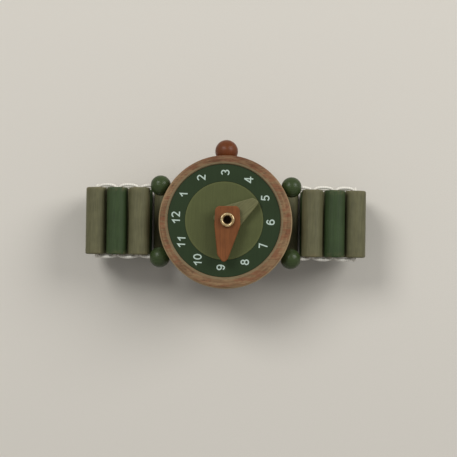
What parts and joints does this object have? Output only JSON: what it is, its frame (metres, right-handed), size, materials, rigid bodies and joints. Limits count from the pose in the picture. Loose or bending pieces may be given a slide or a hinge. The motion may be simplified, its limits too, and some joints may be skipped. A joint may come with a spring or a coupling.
{
  "type": "toy watch",
  "caption": "Pretend-play wooden watch: round case with a painted dial and turning hands on a stretchy bracelet of painted cylinder beads.",
  "frame": {"origin": "centre of the case's flat back", "axes": "+Z out of the dial, +X along the bracelet towards 6 o'clock, +Y towards the crown at 3 o'clock"},
  "size_m": [0.0856, 0.0449, 0.0285],
  "materials": {
    "case_wood": "bare sanded wood",
    "dial_dark_green": "matt paint",
    "dial_olive": "matt paint",
    "hand_olive": "matt paint",
    "hand_terracotta": "matt paint",
    "crown_terracotta": "satin paint",
    "ball_green": "satin paint",
    "bead_olive": "satin paint",
    "bead_dark_green": "satin paint",
    "peg_wood": "bare dowel",
    "rivet_brass": "dull plated",
    "steel_washer": "plain",
    "fibre_washer": "matt",
    "white_elastic": "braided cover"
  },
  "bodies": {
    "case": {"case": "case_wood", "dial_ring": "dial_dark_green", "dial_centre": "dial_olive", "hand_washer": "fibre_washer", "rivet": "rivet_brass", "head_washer": "steel_washer", "crown": "crown_terracotta", "crown_peg": "peg_wood", "ball_right_top": "ball_green", "ball_right_bottom": "ball_green", "ball_left_top": "ball_green", "ball_left_bottom": "ball_green", "elastic_cord": "white_elastic"},
    "hour_hand": {"hour_hand": "hand_olive"},
    "minute_hand": {"minute_hand": "hand_terracotta"},
    "bead_right_1": {"bead_right_1": "bead_olive"},
    "bead_right_2": {"bead_right_2": "bead_dark_green"},
    "bead_right_3": {"bead_right_3": "bead_olive"},
    "bead_right_4": {"bead_right_4": "bead_dark_green"},
    "bead_right_5": {"bead_right_5": "bead_olive"},
    "bead_right_6": {"bead_right_6": "bead_dark_green"},
    "bead_right_7": {"bead_right_7": "bead_olive"},
    "back_right": {"bead_right_8": "bead_dark_green", "bead_right_9": "bead_olive", "bead_back": "bead_dark_green"},
    "bead_left_1": {"bead_left_1": "bead_olive"},
    "bead_left_2": {"bead_left_2": "bead_dark_green"},
    "bead_left_3": {"bead_left_3": "bead_olive"},
    "bead_left_4": {"bead_left_4": "bead_dark_green"},
    "bead_left_5": {"bead_left_5": "bead_olive"},
    "bead_left_6": {"bead_left_6": "bead_dark_green"},
    "bead_left_7": {"bead_left_7": "bead_olive"},
    "back_left": {"bead_left_8": "bead_dark_green", "bead_left_9": "bead_olive"}
  },
  "joints": [
    {"name": "hour_hand_turn", "type": "hinge", "parent": "case", "child": "hour_hand", "pos_m": [0.0006, 0.0006, 0.0102], "axis": [0, 0, 1], "continuous": true},
    {"name": "minute_hand_turn", "type": "hinge", "parent": "case", "child": "minute_hand", "pos_m": [0.0006, 0.0006, 0.0119], "axis": [0, 0, 1], "continuous": true},
    {"name": "bracelet_flex", "type": "hinge", "parent": "case", "child": "bead_right_1", "pos_m": [0.0198, 0, 0.0044], "axis": [0, 1, 0], "range_deg": [-2, 26], "deforming": ["elastic_cord"]},
    {"name": "link_right_2", "type": "hinge", "parent": "bead_right_1", "child": "bead_right_2", "pos_m": [0.02624, 0, 0.00395], "axis": [0, 1, 0], "range_deg": [-2.5, 24.5]},
    {"name": "link_right_3", "type": "hinge", "parent": "bead_right_2", "child": "bead_right_3", "pos_m": [0.03303, 0, 0.00275], "axis": [0, 1, 0], "range_deg": [-2, 17.5]},
    {"name": "link_right_4", "type": "hinge", "parent": "bead_right_3", "child": "bead_right_4", "pos_m": [0.03959, 0, 0.00062], "axis": [0, 1, 0], "range_deg": [-67.5, 5.5]},
    {"name": "link_right_5", "type": "hinge", "parent": "bead_right_4", "child": "bead_right_5", "pos_m": [0.03959, 0, -0.00628], "axis": [0, 1, 0], "range_deg": [-66, 5.5]},
    {"name": "link_right_6", "type": "hinge", "parent": "bead_right_5", "child": "bead_right_6", "pos_m": [0.03311, 0, -0.00864], "axis": [0, 1, 0], "range_deg": [-2, 17.5]},
    {"name": "link_right_7", "type": "hinge", "parent": "bead_right_6", "child": "bead_right_7", "pos_m": [0.02636, 0, -0.01008], "axis": [0, 1, 0], "range_deg": [-2.5, 24.5]},
    {"name": "link_right_8", "type": "hinge", "parent": "bead_right_7", "child": "back_right", "pos_m": [0.0195, 0, -0.01081], "axis": [0, 1, 0], "range_deg": [-2.5, 25]},
    {"name": "link_left_1", "type": "hinge", "parent": "case", "child": "bead_left_1", "pos_m": [-0.0198, 0, 0.0044], "axis": [0, -1, 0], "range_deg": [-2.5, 26.5]},
    {"name": "link_left_2", "type": "hinge", "parent": "bead_left_1", "child": "bead_left_2", "pos_m": [-0.02624, 0, 0.00395], "axis": [0, -1, 0], "range_deg": [-2.5, 24.5]},
    {"name": "link_left_3", "type": "hinge", "parent": "bead_left_2", "child": "bead_left_3", "pos_m": [-0.03303, 0, 0.00275], "axis": [0, -1, 0], "range_deg": [-2, 17.5]},
    {"name": "link_left_4", "type": "hinge", "parent": "bead_left_3", "child": "bead_left_4", "pos_m": [-0.03959, 0, 0.00062], "axis": [0, -1, 0], "range_deg": [-67.5, 5.5]},
    {"name": "link_left_5", "type": "hinge", "parent": "bead_left_4", "child": "bead_left_5", "pos_m": [-0.03959, 0, -0.00628], "axis": [0, -1, 0], "range_deg": [-66, 5.5]},
    {"name": "link_left_6", "type": "hinge", "parent": "bead_left_5", "child": "bead_left_6", "pos_m": [-0.03311, 0, -0.00864], "axis": [0, -1, 0], "range_deg": [-2, 17.5]},
    {"name": "link_left_7", "type": "hinge", "parent": "bead_left_6", "child": "bead_left_7", "pos_m": [-0.02636, 0, -0.01008], "axis": [0, -1, 0], "range_deg": [-2.5, 24.5]},
    {"name": "link_left_8", "type": "hinge", "parent": "bead_left_7", "child": "back_left", "pos_m": [-0.0195, 0, -0.01081], "axis": [0, -1, 0], "range_deg": [-2.5, 25]}
  ],
  "couplings": [
    {"joint": "link_right_2", "follows": "bracelet_flex", "ratio": 0.92308},
    {"joint": "link_right_3", "follows": "bracelet_flex", "ratio": 0.65385},
    {"joint": "link_right_4", "follows": "bracelet_flex", "ratio": -2.5769},
    {"joint": "link_right_5", "follows": "bracelet_flex", "ratio": -2.5108},
    {"joint": "link_right_6", "follows": "bracelet_flex", "ratio": 0.65385},
    {"joint": "link_right_7", "follows": "bracelet_flex", "ratio": 0.92308},
    {"joint": "link_right_8", "follows": "bracelet_flex", "ratio": 0.93385},
    {"joint": "link_left_1", "follows": "bracelet_flex", "ratio": 1},
    {"joint": "link_left_2", "follows": "bracelet_flex", "ratio": 0.92308},
    {"joint": "link_left_3", "follows": "bracelet_flex", "ratio": 0.65385},
    {"joint": "link_left_4", "follows": "bracelet_flex", "ratio": -2.5769},
    {"joint": "link_left_5", "follows": "bracelet_flex", "ratio": -2.5108},
    {"joint": "link_left_6", "follows": "bracelet_flex", "ratio": 0.65385},
    {"joint": "link_left_7", "follows": "bracelet_flex", "ratio": 0.92308},
    {"joint": "link_left_8", "follows": "bracelet_flex", "ratio": 0.93385}
  ]
}
